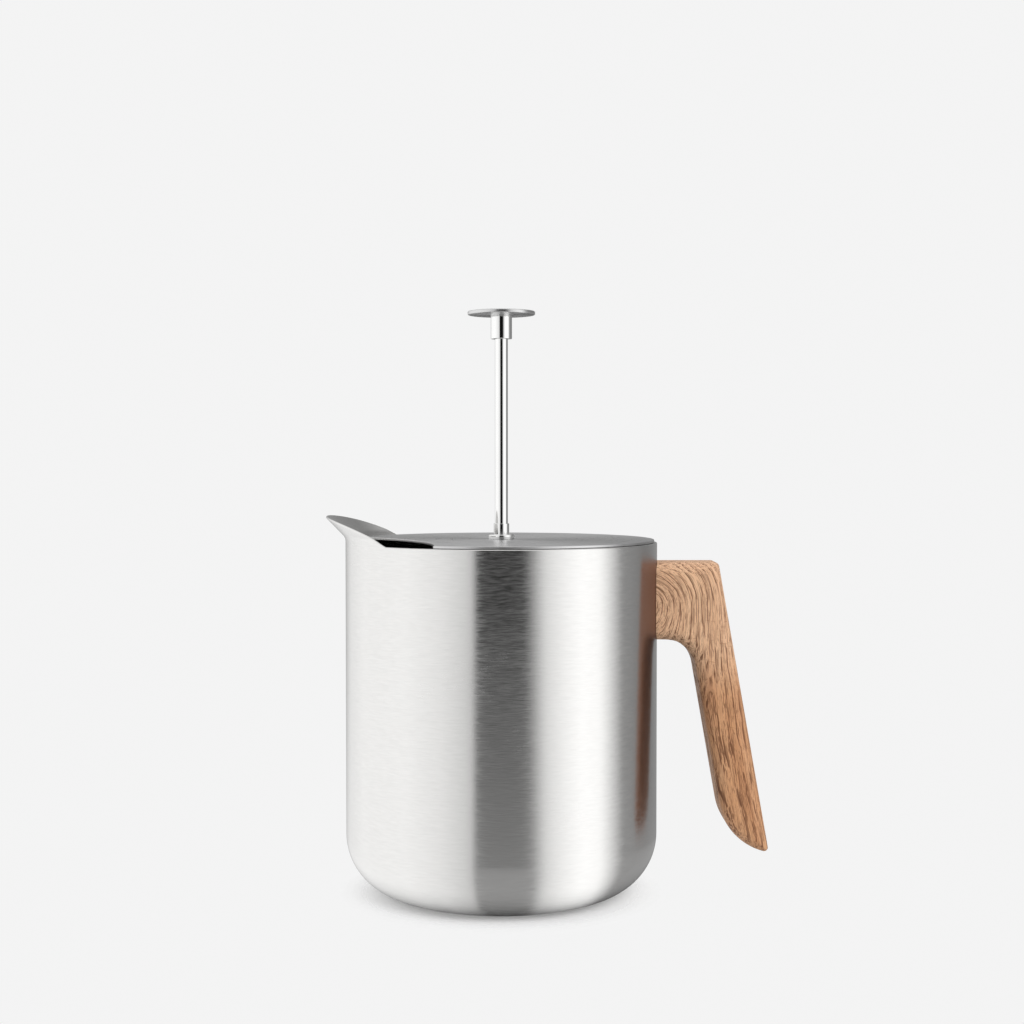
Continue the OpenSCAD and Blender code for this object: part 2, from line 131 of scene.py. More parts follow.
def light_the_room():
    """The room's light by compass direction: 0 is straight behind, 0.5 towards the viewer, and
    more is to the right. Directions that dip are what a rounded lower corner mirrors. tip comes
    from the dip and corrects the compass, so that the dark band runs straight round the corner."""
    world = bpy.data.worlds.new("white_room")
    bpy.context.scene.world = world
    world.use_nodes = True
    tree = world.node_tree
    tree.nodes.clear()
    x, y, z = axes_of(tree, add_node(tree, "ShaderNodeTexCoord").outputs["Generated"])
    forward = maths(tree, "MULTIPLY", y, -1.0)
    dip = maths(tree, "MINIMUM", z, 0.0)
    ahead = maths(tree, "MAXIMUM", maths(tree, "ADD", forward, 1.0), 0.01)
    tip = maths(tree, "DIVIDE", maths(tree, "MULTIPLY", dip, dip), maths(tree, "MULTIPLY", ahead, 2.0))
    compass = maths(tree, "ARCTAN2", x, maths(tree, "ADD", forward, tip))
    turn = scaled(tree, compass, 0.5 / math.pi, 0.5)

    def bearing(degrees):
        """The ramp's place that many degrees to the right of the viewer."""
        return 0.5 + degrees / 360

    gap_left, gap_right = bearing(-18.5), bearing(21)
    walls = ramp(tree, turn, [
        (0.0, 0.22), (0.06, 0.42), (0.10, 0.72), (0.17, 0.89), (0.30, 0.92), (0.38, 0.80),
        (gap_left - 0.004, 0.60), (gap_left + 0.004, 0.006), (0.5, 0.003), (gap_right - 0.012, 0.012),
        (gap_right + 0.03, 0.72), (bearing(46), 0.93), (bearing(60), 1.08), (bearing(76), 1.04),
        (bearing(98), 0.26), (bearing(130), 0.18), (bearing(160), 0.22), (1.0, 0.22)])
    height = scaled(tree, z, 0.5, 0.5)
    from_floor = ramp(tree, height, [(0.375, 0.29), (0.44, 0.015), (0.47, 0.0)])
    walls = mix(tree, 1.0, walls, from_floor, "LIGHTEN")
    base_shade = ramp(tree, tip, [(0.35, 1.0), (0.6, 0.75), (0.9, 0.15)])
    walls = mix(tree, 1.0, walls, base_shade, "MULTIPLY")
    overhead = ramp(tree, z, [(0.45, 0.0), (0.90, 1.0)], "EASE")
    room = mix(tree, overhead, walls, (0.72, 0.72, 0.72, 1))
    lit = add_node(tree, "ShaderNodeBackground", {"Color": room, "Strength": 1.42})
    seen = add_node(tree, "ShaderNodeBackground",
                    {"Color": (studio_white, studio_white, studio_white, 1), "Strength": 1.0})
    ray = add_node(tree, "ShaderNodeLightPath")
    both = add_node(tree, "ShaderNodeMixShader",
                    {0: ray.outputs["Is Camera Ray"], 1: lit.outputs[0], 2: seen.outputs[0]})
    add_node(tree, "ShaderNodeOutputWorld", {"Surface": both.outputs[0]})


def new_material(name, metallic=0.0):
    """A material, its node tree, its shader, and where each point lies on the piece."""
    material = bpy.data.materials.new(name)
    material.use_nodes = True
    tree = material.node_tree
    shader = tree.nodes["Principled BSDF"]
    shader.inputs["Metallic"].default_value = metallic
    where = add_node(tree, "ShaderNodeTexCoord").outputs["Object"]
    return material, tree, shader, where


def lay_the_table():
    """A pale round table top that fades into the room at its edge."""
    radius, rings, turns = 1.1, 24, 96
    mesh = bmesh.new()
    middle = mesh.verts.new((0, 0, 0))
    last = None
    for ring in range(1, rings + 1):
        r = radius * ring / rings
        angles = [2 * math.pi * i / turns for i in range(turns)]
        row = [mesh.verts.new((r * math.cos(a), r * math.sin(a), 0)) for a in angles]
        for i in range(turns):
            j = (i + 1) % turns
            if last is None:
                mesh.faces.new((middle, row[i], row[j]))
            else:
                mesh.faces.new((last[i], row[i], row[j], last[j]))
        last = row
    data = bpy.data.meshes.new("table_top")
    mesh.to_mesh(data)
    mesh.free()
    table = bpy.data.objects.new("table_top", data)
    bpy.context.scene.collection.objects.link(table)
    table.location.z = cad_low.z - table_gap
    material, tree, shader, where = new_material("pale_table")
    shader.inputs["Base Color"].default_value = (0.775, 0.775, 0.775, 1)
    shader.inputs["Roughness"].default_value = 0.85
    shader.inputs["Specular IOR Level"].default_value = 0.1
    away = add_node(tree, "ShaderNodeVectorMath", {0: where}, operation="LENGTH").outputs["Value"]
    fade = ramp(tree, away, [(0.037, 1.0), (0.063, 0.0)], "EASE")
    tree.links.new(fade, shader.inputs["Alpha"])
    data.materials.append(material)
    table.visible_glossy = False


def hang_soft_box(name, place, aim, size, watts):
    """A big soft lamp that fills the shadows. It is kept out of the steel's reflections."""
    lamp = bpy.data.lights.new(name, "AREA")
    lamp.shape = "DISK"
    lamp.size = size
    lamp.energy = watts
    holder = bpy.data.objects.new(name, lamp)
    bpy.context.scene.collection.objects.link(holder)
    holder.location = place
    holder.rotation_euler = (Vector(aim) - Vector(place)).to_track_quat("-Z", "Y").to_euler()
    holder.visible_glossy = False


light_the_room()
lay_the_table()
hang_soft_box("front_soft_box", (0.5, -1.1, 1.0), (0.03, 0, 0.08), 0.9, 11)
hang_soft_box("back_soft_box", (0.8, 0.9, 1.0), (0, 0, 0.08), 0.9, 5)

# ---------------------------------------------------------------------------------------------
# Outer shell: stainless sheet drawn into a deep cup, with the spout drawn up and outwards from
# its rim, the edge ground round, and the whole outside brushed on a lathe.
# ---------------------------------------------------------------------------------------------
shell_low, shell_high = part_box("outer_shell")
shell_r = shell_high.y
sheet_t = 0.8 * MM
base_corner_r = 23 * MM
base_opening_r = 33 * MM
spout_half_angle = math.radians(46)
spout_lean = math.radians(44)
spout_bend_r = 3 * MM
spout_start = 0.7 * MM
spout_foot_l = 5 * MM
spout_reach = 15 * MM
spout_edge_r = 110 * MM
spout_rise = shell_high.z - rim_z
crease_angle = math.radians(40)


def arc(centre, radius, start, end, steps):
    """Points (r, z) along an arc, angles in degrees."""
    angles = [math.radians(start + (end - start) * i / steps) for i in range(steps + 1)]
    return [(centre[0] + radius * math.cos(a), centre[1] + radius * math.sin(a)) for a in angles]


def new_piece(name, mesh, body, replaced, material):
    """Makes an object of a bmesh, smooth, and tells the frame what it is."""
    bmesh.ops.recalc_face_normals(mesh, faces=mesh.faces[:])
    for face in mesh.faces:
        face.smooth = True
    data = bpy.data.meshes.new(name)
    mesh.to_mesh(data)
    mesh.free()
    data.set_sharp_from_angle(angle=crease_angle)
    data.materials.append(material)
    piece = bpy.data.objects.new(name, data)
    bpy.context.scene.collection.objects.link(piece)
    shading = piece.modifiers.new("flat_faces_stay_flat", "WEIGHTED_NORMAL")
    shading.weight = 100
    shading.keep_sharp = True
    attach(piece, body)
    if replaced:
        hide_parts(*replaced)
    return piece


def skin_columns(mesh, columns, closed_rows=True):
    """Quads over columns of points that run once around the axis; poles at r = 0 are merged.
    The UV map has u along the column, across the brush marks, and v around the axis."""
    uv = mesh.loops.layers.uv.get("around") or mesh.loops.layers.uv.new("around")
    count = len(columns[0])
    verts = [[mesh.verts.new(p) for p in column] for column in columns]
    along = [0.0]
    for a, b in zip(columns[0], columns[0][1:] + columns[0][:1]):
        along.append(along[-1] + (Vector(a) - Vector(b)).length)
    for c in range(len(columns)):
        d = (c + 1) % len(columns)
        for i in range(count if closed_rows else count - 1):
            j = (i + 1) % count
            face = mesh.faces.new((verts[c][i], verts[c][j], verts[d][j], verts[d][i]))
            places = ((i, c), (i + 1, c), (i + 1, c + 1), (i, c + 1))
            for loop, (row, column) in zip(face.loops, places):
                loop[uv].uv = (along[row] * 10, column / len(columns))
    bmesh.ops.remove_doubles(mesh, verts=mesh.verts[:], dist=1e-7)


def spout_foot(offset):
    """The path of the spout's sheet from a little under the rim, offset inwards from its outside."""
    bend = arc((shell_r + spout_bend_r, rim_z + spout_start), spout_bend_r + offset,
               180, 180 - math.degrees(spout_lean), 10)
    end = bend[-1]
    return ([(shell_r - offset, rim_z - spout_foot_l)] + bend
            + [(end[0] + spout_reach * math.sin(spout_lean), end[1] + spout_reach * math.cos(spout_lean))])


def walk(path, distance):
    """The point at that distance along a path of points."""
    for a, b in zip(path, path[1:]):
        step = math.dist(a, b)
        if distance <= step:
            t = distance / step
            return (a[0] + (b[0] - a[0]) * t, a[1] + (b[1] - a[1]) * t)
        distance -= step
    return path[-1]


def spout_edge_circle():
    """Centre (x, z) of the circle that trims the spout's top edge, seen from the side."""
    root_x = -shell_r * math.cos(spout_half_angle)
    tip_x = shell_low.x
    chord = Vector((tip_x - root_x, spout_rise))
    back = math.sqrt(spout_edge_r ** 2 - (chord.length / 2) ** 2)
    return ((root_x + tip_x) / 2 - back * spout_rise / chord.length,
            rim_z + spout_rise / 2 + back * chord.x / chord.length)


edge_centre = spout_edge_circle()


def edge_distance(path, angle):
    """How far up the path the sheet reaches at an angle from the spout's middle."""
    low, high = spout_foot_l, spout_foot_l + spout_reach

    def inside(distance):
        r, z = walk(path, distance)
        return math.hypot(-r * math.cos(angle) - edge_centre[0], z - edge_centre[1]) < spout_edge_r

    if abs(angle) >= spout_half_angle or not inside(low + 1e-6):
        return low
    for _ in range(30):
        middle = (low + high) / 2
        if inside(middle):
            low = middle
        else:
            high = middle
    return low


def shell_column(angle):
    """One column of the shell: outside from the base up, round the edge, and down the inside."""
    def wall(offset):
        corner = arc((shell_r - base_corner_r, base_corner_r), base_corner_r - offset, -90, 0, 24)
        steps = [base_corner_r + (rim_z - spout_foot_l - base_corner_r) * i / 12 for i in range(1, 12)]
        return ([(base_opening_r, offset), ((base_opening_r + shell_r - base_corner_r) / 2, offset)]
                + corner + [(shell_r - offset, z) for z in steps])

    outside, inside = spout_foot(0), spout_foot(sheet_t)
    round_r = sheet_t / 2
    reach = edge_distance(outside, angle)
    stops = [(reach - round_r) * i / 18 for i in range(19)]
    upper_out = [walk(outside, s) for s in stops]
    top_out = upper_out[-1]
    ahead = walk(outside, stops[-1] + 0.01 * MM)
    rise = Vector((ahead[0] - top_out[0], ahead[1] - top_out[1])).normalized()
    inward = Vector((-rise.y, rise.x))
    centre = Vector(top_out) + inward * round_r
    edge = []
    for i in range(1, 8):
        a = math.pi * i / 8
        edge.append(tuple(centre + round_r * (rise * math.sin(a) - inward * math.cos(a))))
    top_in = centre + inward * round_r
    upper_in = [walk(inside, s) for s in stops[:-1]] + [tuple(top_in)]
    section = wall(0) + upper_out + edge + upper_in[::-1] + wall(sheet_t)[::-1]
    return [(-r * math.cos(angle), -r * math.sin(angle), z) for r, z in section]


def jug_angles():
    """Columns are closer together across the spout and meet its two ends exactly."""
    front = [spout_half_angle * (2 * i / 160 - 1) for i in range(160)]
    rest = [spout_half_angle + (2 * math.pi - 2 * spout_half_angle) * i / 300 for i in range(300)]
    return front + rest


def effect_group(name, inputs, outputs):
    """An empty node group that takes a place and some numbers, and gives some numbers."""
    group = bpy.data.node_groups.new(name, "ShaderNodeTree")
    group.interface.new_socket("Place", in_out="INPUT", socket_type="NodeSocketVector")
    for socket in inputs:
        group.interface.new_socket(socket, in_out="INPUT", socket_type="NodeSocketFloat")
    for socket in outputs:
        group.interface.new_socket(socket, in_out="OUTPUT", socket_type="NodeSocketFloat")
    return group, group.nodes.new("NodeGroupInput"), group.nodes.new("NodeGroupOutput")


def hand_out(group, leave, values):
    """Links values to the group's outputs, in their order."""
    for socket, value in zip(leave.inputs, values):
        group.links.new(value, socket)


def combine(tree, x, y, z=0.0):
    return add_node(tree, "ShaderNodeCombineXYZ", {0: x, 1: y, 2: z}).outputs[0]


def noise(tree, place, scale, detail, roughness=0.5):
    return add_node(tree, "ShaderNodeTexNoise", {"Vector": place, "Scale": scale, "Detail": detail,
                                                 "Roughness": roughness}).outputs["Fac"]


def from_axis(tree, place):
    """How far a place is from the upright axis."""
    x, y, _ = axes_of(tree, place)
    flat = combine(tree, x, y)
    return add_node(tree, "ShaderNodeVectorMath", {0: flat}, operation="LENGTH").outputs["Value"]


def brush_marks():
    """Fine parallel scratches: long in the direction of brushing, hair-fine across it."""
    group, entry, leave = effect_group("brush_marks", ("Across", "Along Scale", "Across Scale"),
                                       ("Height", "Tone", "Smudge"))
    place = entry.outputs["Place"]
    along_scale = entry.outputs["Along Scale"]
    x, y = (maths(group, "MULTIPLY", axis, along_scale) for axis in axes_of(group, place)[:2])
    across = maths(group, "MULTIPLY", entry.outputs["Across"], entry.outputs["Across Scale"])
    scratches = noise(group, combine(group, x, y, across), 1.0, 3.0, 0.7)
    bands = noise(group, combine(group, x, y, maths(group, "MULTIPLY", across, 0.4)), 0.6, 2.0)
    height = maths(group, "ADD", maths(group, "MULTIPLY", scratches, 0.85),
                   maths(group, "MULTIPLY", bands, 0.15))
    tone = ramp(group, height, [(0.36, 0.0), (0.64, 1.0)])
    smudge = ramp(group, noise(group, place, 22.0, 3.0, 0.6), [(0.35, 0.0), (0.7, 1.0)])
    hand_out(group, leave, (height, tone, smudge))
    return group


brush_marks_group = brush_marks()


def dress_shader(tree, shader, tint, roughness, height, strength, depth):
    """Gives a shader its colour, its roughness, and bumps of a strength and depth from a height."""
    bump = add_node(tree, "ShaderNodeBump", {"Height": height, "Strength": strength, "Distance": depth})
    for value, socket in ((tint, "Base Color"), (roughness, "Roughness"), (bump.outputs["Normal"], "Normal")):
        tree.links.new(value, shader.inputs[socket])


def steel(name, colour, roughness, marks, turned=False, stretch=0.75):
    """Brushed stainless steel. marks holds the scratches' scales, bump and contrast; turned ones
    run in rings on a flat face instead of round a wall. stretch smears reflections across the
    marks, and needs the piece's UV map."""
    along_scale, across_scale, bump, contrast = marks
    material, tree, shader, where = new_material(name, metallic=1.0)
    across = from_axis(tree, where) if turned else axes_of(tree, where)[2]
    worn_by = add_node(tree, "ShaderNodeGroup", {"Place": where, "Across": across, "Along Scale": along_scale,
                                                 "Across Scale": across_scale}, node_tree=brush_marks_group)
    height, tone, smudge = worn_by.outputs
    low = tuple(c * (1 - contrast) for c in colour)
    high = tuple(min(c * (1 + contrast), 1.0) for c in colour)
    tint = mix(tree, tone, (*low, 1), (*high, 1))
    worn = scaled(tree, tone, roughness * 0.56, roughness * 0.68)
    greasy = scaled(tree, smudge, roughness * 0.16, worn)
    dress_shader(tree, shader, tint, greasy, height, bump, 0.05 * MM)
    if stretch:
        shader.inputs["Anisotropic"].default_value = stretch
        tangent = add_node(tree, "ShaderNodeTangent", direction_type="UV_MAP")
        tangent.uv_map = "around"
        tree.links.new(tangent.outputs[0], shader.inputs["Tangent"])
    return material


shell_steel = steel("brushed_shell_steel", (0.66, 0.655, 0.645), 0.20, (230, 2300, 0.36, 0.035))
shell_mesh = bmesh.new()
skin_columns(shell_mesh, [shell_column(a) for a in jug_angles()], closed_rows=False)
new_piece("jug_shell", shell_mesh, "jug", ["outer_shell"], shell_steel)

# ---------------------------------------------------------------------------------------------
# Inner shell: the liner, spun from thinner sheet. Its mouth flares out and rolls flat to make
# the rim, where it is welded to the outer shell and the seam is ground flush.
# ---------------------------------------------------------------------------------------------
bore_r = 52.6 * MM
floor_z = 10 * MM
inner_corner_r = 16 * MM
mouth_depth = 17 * MM
mouth_bend_r = 25 * MM
mouth_lean = 18
rim_roll_r = 2 * MM
liner_edge_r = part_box("inner_shell")[1].x


def liner_face(offset):
    """The liner's inside (offset 0) or outside, from the middle of the floor to the rim."""
    flare_z = rim_z - mouth_depth
    bend = arc((bore_r + mouth_bend_r, flare_z), mouth_bend_r - offset, 180, 180 - mouth_lean, 8)
    lean = math.radians(mouth_lean)
    foot = (bore_r + mouth_bend_r * (1 - math.cos(lean)), flare_z + mouth_bend_r * math.sin(lean))
    length = (rim_z - rim_roll_r * (1 - math.sin(lean)) - foot[1]) / math.cos(lean)
    head = (foot[0] + length * math.sin(lean), foot[1] + length * math.cos(lean))
    roll_c = (head[0] + rim_roll_r * math.cos(lean), head[1] - rim_roll_r * math.sin(lean))
    roll = arc(roll_c, rim_roll_r - offset, 180 - mouth_lean, 90, 10)
    corner = arc((bore_r - inner_corner_r, floor_z + inner_corner_r), inner_corner_r + offset, -90, 0, 20)
    floor = [((bore_r - inner_corner_r) * i / 10, floor_z - offset) for i in range(10)]
    walls = [(bore_r + offset, floor_z + inner_corner_r + (flare_z - floor_z - inner_corner_r) * i / 10)
             for i in range(1, 10)]
    return floor + corner + walls + bend + roll + [(liner_edge_r, rim_z - offset)]


def spun(outline, turns=256):
    """Turns an outline of (r, z) points into columns round the axis."""
    return [[(r * math.cos(2 * math.pi * i / turns), r * math.sin(2 * math.pi * i / turns), z)
             for r, z in outline] for i in range(turns)]


liner_steel = steel("brushed_liner_steel", (0.62, 0.615, 0.605), 0.25, (230, 2300, 0.06, 0.02))
liner_mesh = bmesh.new()
skin_columns(liner_mesh, spun(liner_face(0) + liner_face(sheet_t)[::-1]))
new_piece("jug_liner", liner_mesh, "jug", ["inner_shell"], liner_steel)

# ---------------------------------------------------------------------------------------------
# Base plate: a turned steel disc, laser-welded into the bottom of the outer shell. Shallow
# turned rings run out from its middle.
# ---------------------------------------------------------------------------------------------


def rounded(corners, steps=5):
    """An outline from (r, z, radius) corners, each turned into an arc of that radius."""
    points = []
    for i, (r, z, radius) in enumerate(corners):
        here = Vector((r, z))
        if radius == 0:
            points.append((r, z))
            continue
        before = (Vector(corners[i - 1][:2]) - here).normalized()
        after = (Vector(corners[(i + 1) % len(corners)][:2]) - here).normalized()
        half = before.angle(after) / 2
        centre = here + (before + after).normalized() * (radius / math.sin(half))
        start = here + before * radius / math.tan(half) - centre
        end = here + after * radius / math.tan(half) - centre
        turn = math.pi - 2 * half
        for k in range(steps + 1):
            t = k / steps
            swing = (start * math.sin((1 - t) * turn) + end * math.sin(t * turn)) / math.sin(turn)
            points.append(tuple(centre + swing))
    return points


def turned_piece(name, corners, body, replaced, material, turns=128):
    """A part turned on a lathe, from its (r, z, corner radius) corners in millimetres."""
    mesh = bmesh.new()
    outline = rounded([(r * MM, z * MM, radius * MM) for r, z, radius in corners])
    skin_columns(mesh, spun(outline, turns))
    return new_piece(name, mesh, body, replaced, material)


base_steel = steel("turned_base_steel", (0.60, 0.595, 0.585), 0.32, (90, 2200, 0.2, 0.06), turned=True)
base_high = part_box("base_plate")[1]
fit = 0.05
plate_r = base_opening_r / MM - fit
plate_step = sheet_t / MM + fit
turned_piece("jug_base", [(0, 0, 0), (12, 0, 0), (24, 0, 0), (plate_r, 0, 0.2), (plate_r, plate_step, 0),
                          (base_high.x / MM, plate_step, 0.1), (base_high.x / MM, base_high.z / MM, 0.1),
                          (0, base_high.z / MM, 0)],
             "jug", ["base_plate"], base_steel, turns=192)

# ---------------------------------------------------------------------------------------------
# Handle: one piece of oak, sawn to its outline so that the growth rings curl round the arm and
# run down the grip, then rounded over, sanded and oiled. Its end is hollowed to fit the jug, and
# two counterbores in the arm's underside take the screws.
# ---------------------------------------------------------------------------------------------
handle_low, handle_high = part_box("handle")
handle_w = handle_high.y - handle_low.y
handle_edge_r = 5 * MM
grip_t = 15.6 * MM
grip_out = 104 * MM
grip_lean = math.radians(10)
arm_top = handle_high.z
arm_bottom = arm_top - 29.6 * MM
arm_fillet_r = 12 * MM
arm_corner_r = 1.8 * MM
toe_r = 23 * MM
toe_end = 3.4 * MM
toe_corner_r = 1.5 * MM
handle_seat_r = shell_r + 0.1 * MM
heart_x = shell_r - 9 * MM
heart_z = arm_top - 17.5 * MM
ring_width = 2.2 * MM
ring_tilt = 0.3
sway_size = 2 * MM
arm_reach = 17 * MM
arch_n = 18 * MM
arch_width = 3.2 * MM
arch_height = 5.5 * MM
arm_end = 18 * MM
grip_start = 42 * MM
arch_end = 105 * MM
heart_turn_r = 16 * MM
counterbore_rise = 2.4 * MM
grip_normal = Vector((math.cos(grip_lean), math.sin(grip_lean)))
grip_down = Vector((math.sin(grip_lean), -math.cos(grip_lean)))


def grip_x(along_normal, z):
    """Where the line at that distance from the origin, parallel to the grip, passes height z."""
    return (along_normal - z * math.sin(grip_lean)) / math.cos(grip_lean)


def handle_outline(inset, root_x):
    """The handle's outline in the XZ plane, moved inwards by inset, from the jug and back."""
    lean = math.degrees(grip_lean)
    corner_r = max(arm_corner_r - inset, 0.3 * MM)
    tip_r = max(toe_corner_r - inset, 0.3 * MM)
    corner_z = arm_top - inset - corner_r
    corner_c = (grip_x(grip_out - inset - corner_r, corner_z), corner_z)
    grip_in = grip_out - grip_t
    fillet_z = arm_bottom - arm_fillet_r
    fillet_c = (grip_x(grip_in - arm_fillet_r, fillet_z), fillet_z)
    toe_c = grip_normal * (grip_in + toe_r) + grip_down * (toe_end - toe_r)
    tip_reach = toe_r - inset - tip_r
    tip_turn = math.degrees(math.asin((toe_r - grip_t + inset + tip_r) / tip_reach))
    tip_a = lean - 90 - tip_turn
    tip_c = (toe_c.x + tip_reach * math.cos(math.radians(tip_a)),
             toe_c.y + tip_reach * math.sin(math.radians(tip_a)))
    fillet = arc(fillet_c, arm_fillet_r + inset, 90, lean, 24)
    toe = arc(toe_c, toe_r - inset, lean - 180, tip_a, 28)
    tip = arc(tip_c, tip_r, tip_a + 5, lean, 8)
    corner = arc(corner_c, corner_r, lean, 90, 10)

    def between(a, b, count):
        return [(a[0] + (b[0] - a[0]) * i / count, a[1] + (b[1] - a[1]) * i / count)
                for i in range(1, count)]

    under, over = (root_x, arm_bottom + inset), (root_x, arm_top - inset)
    return ([under] + between(under, fillet[0], 3) + fillet + between(fillet[-1], toe[0], 24) + toe
            + tip + between(tip[-1], corner[0], 36) + corner + between(corner[-1], over, 8) + [over])


def carve_handle():
    """Skins the outlines from one side to the other and fills the two flat sides."""
    mesh = bmesh.new()
    edge = [(handle_w / 2 - handle_edge_r * (1 - math.cos(a)), handle_edge_r * (1 - math.sin(a)))
            for a in (math.pi / 2 * i / 9 for i in range(10))]
    flat = handle_w / 2 - handle_edge_r
    layers = ([(-y, inset) for y, inset in edge] + [(flat * (2 * i / 6 - 1), 0) for i in range(1, 6)]
              + [(y, inset) for y, inset in edge[::-1]])
    rows = []
    for y, inset in layers:
        root_x = math.sqrt(handle_seat_r ** 2 - y ** 2)
        rows.append([mesh.verts.new((x, y, z)) for x, z in handle_outline(inset, root_x)])
    count = len(rows[0])
    for a, b in zip(rows, rows[1:]):
        for i in range(count):
            j = (i + 1) % count
            mesh.faces.new((a[i], a[j], b[j], b[i]))
    mesh.faces.new(rows[0][::-1])
    mesh.faces.new(rows[-1])
    return mesh


def cut_holes(piece, holes):
    """Drills holes, each (x, y, low z, high z, radius), out of a piece."""
    cutter_mesh = bmesh.new()
    for x, y, low, high, radius in holes:
        made = bmesh.ops.create_cone(cutter_mesh, cap_ends=True, segments=48, radius1=radius,
                                     radius2=radius, depth=high - low)
        bmesh.ops.translate(cutter_mesh, verts=made["verts"], vec=(x, y, (low + high) / 2))
    data = bpy.data.meshes.new("drill")
    cutter_mesh.to_mesh(data)
    cutter_mesh.free()
    drill = bpy.data.objects.new("drill", data)
    bpy.context.scene.collection.objects.link(drill)
    cut = piece.modifiers.new("drilled", "BOOLEAN")
    cut.operation = "DIFFERENCE"
    cut.solver = "EXACT"
    cut.object = drill
    with bpy.context.temp_override(object=piece, active_object=piece):
        bpy.ops.object.modifier_move_to_index(modifier=cut.name, index=0)
        bpy.ops.object.modifier_apply(modifier=cut.name)
    bpy.data.objects.remove(drill)
    piece.data.set_sharp_from_angle(angle=crease_angle)


def board_rings():
    """Where a point lies in the board, across its growth rings and along its fibres. In the arm
    the rings circle a heart by the jug; down the grip they run straight, with one tall arch."""
    group, entry, leave = effect_group("board_rings", (), ("Rings", "Across", "Along", "Depth", "In Arm"))

    def go(operation, a, b=0.0):
        return maths(group, operation, a, b)

    sway = noise(group, entry.outputs["Place"], 55.0, 2.0).node.outputs["Color"]
    centred = add_node(group, "ShaderNodeVectorMath", {0: sway, 1: (0.5, 0.5, 0.5)}, operation="SUBTRACT")
    bent = add_node(group, "ShaderNodeVectorMath", {0: centred.outputs[0], 1: (sway_size,) * 3,
                                                    2: entry.outputs["Place"]}, operation="MULTIPLY_ADD")
    bent_x, depth, bent_z = axes_of(group, bent.outputs[0])
    x = go("SUBTRACT", bent_x, heart_x)
    z = go("SUBTRACT", bent_z, heart_z)
    tilt = go("MULTIPLY", depth, ring_tilt)
    n = go("ADD", go("ADD", go("MULTIPLY", x, grip_normal.x), go("MULTIPLY", z, grip_normal.y)), tilt)
    d = go("ADD", go("MULTIPLY", x, grip_down.x), go("MULTIPLY", z, grip_down.y))
    below = go("MAXIMUM", d, 0.0)
    eased = go("SUBTRACT", 1.0, go("EXPONENT", go("MULTIPLY", below, -1 / arm_reach)))
    curl = go("ADD", go("MULTIPLY", eased, arm_reach), go("MINIMUM", d, 0.0))
    circle = go("SQRT", go("ADD", go("MULTIPLY", n, n), go("MULTIPLY", curl, curl)))
    down = add_node(group, "ShaderNodeMapRange", {"Value": d, "From Min": arm_end, "From Max": grip_start},
                    interpolation_type="SMOOTHSTEP").outputs["Result"]
    fading = add_node(group, "ShaderNodeMapRange", {"Value": d, "From Min": grip_start, "From Max": arch_end,
                                                    "To Min": 1.0, "To Max": 0.0}).outputs["Result"]
    side = go("DIVIDE", go("SUBTRACT", n, arch_n), arch_width)
    arch = go("EXPONENT", go("MULTIPLY", go("MULTIPLY", side, side), -1.0))
    arch = go("MULTIPLY", go("MULTIPLY", arch, arch_height), go("MULTIPLY", down, fading))
    rings = go("ADD", circle, arch)
    round_heart = go("MULTIPLY", go("ARCTAN2", curl, n), heart_turn_r)
    along = go("ADD", round_heart, go("SUBTRACT", d, curl))
    in_arm = go("SUBTRACT", 1.0, down)
    hand_out(group, leave, (rings, circle, along, depth, in_arm))
    return group


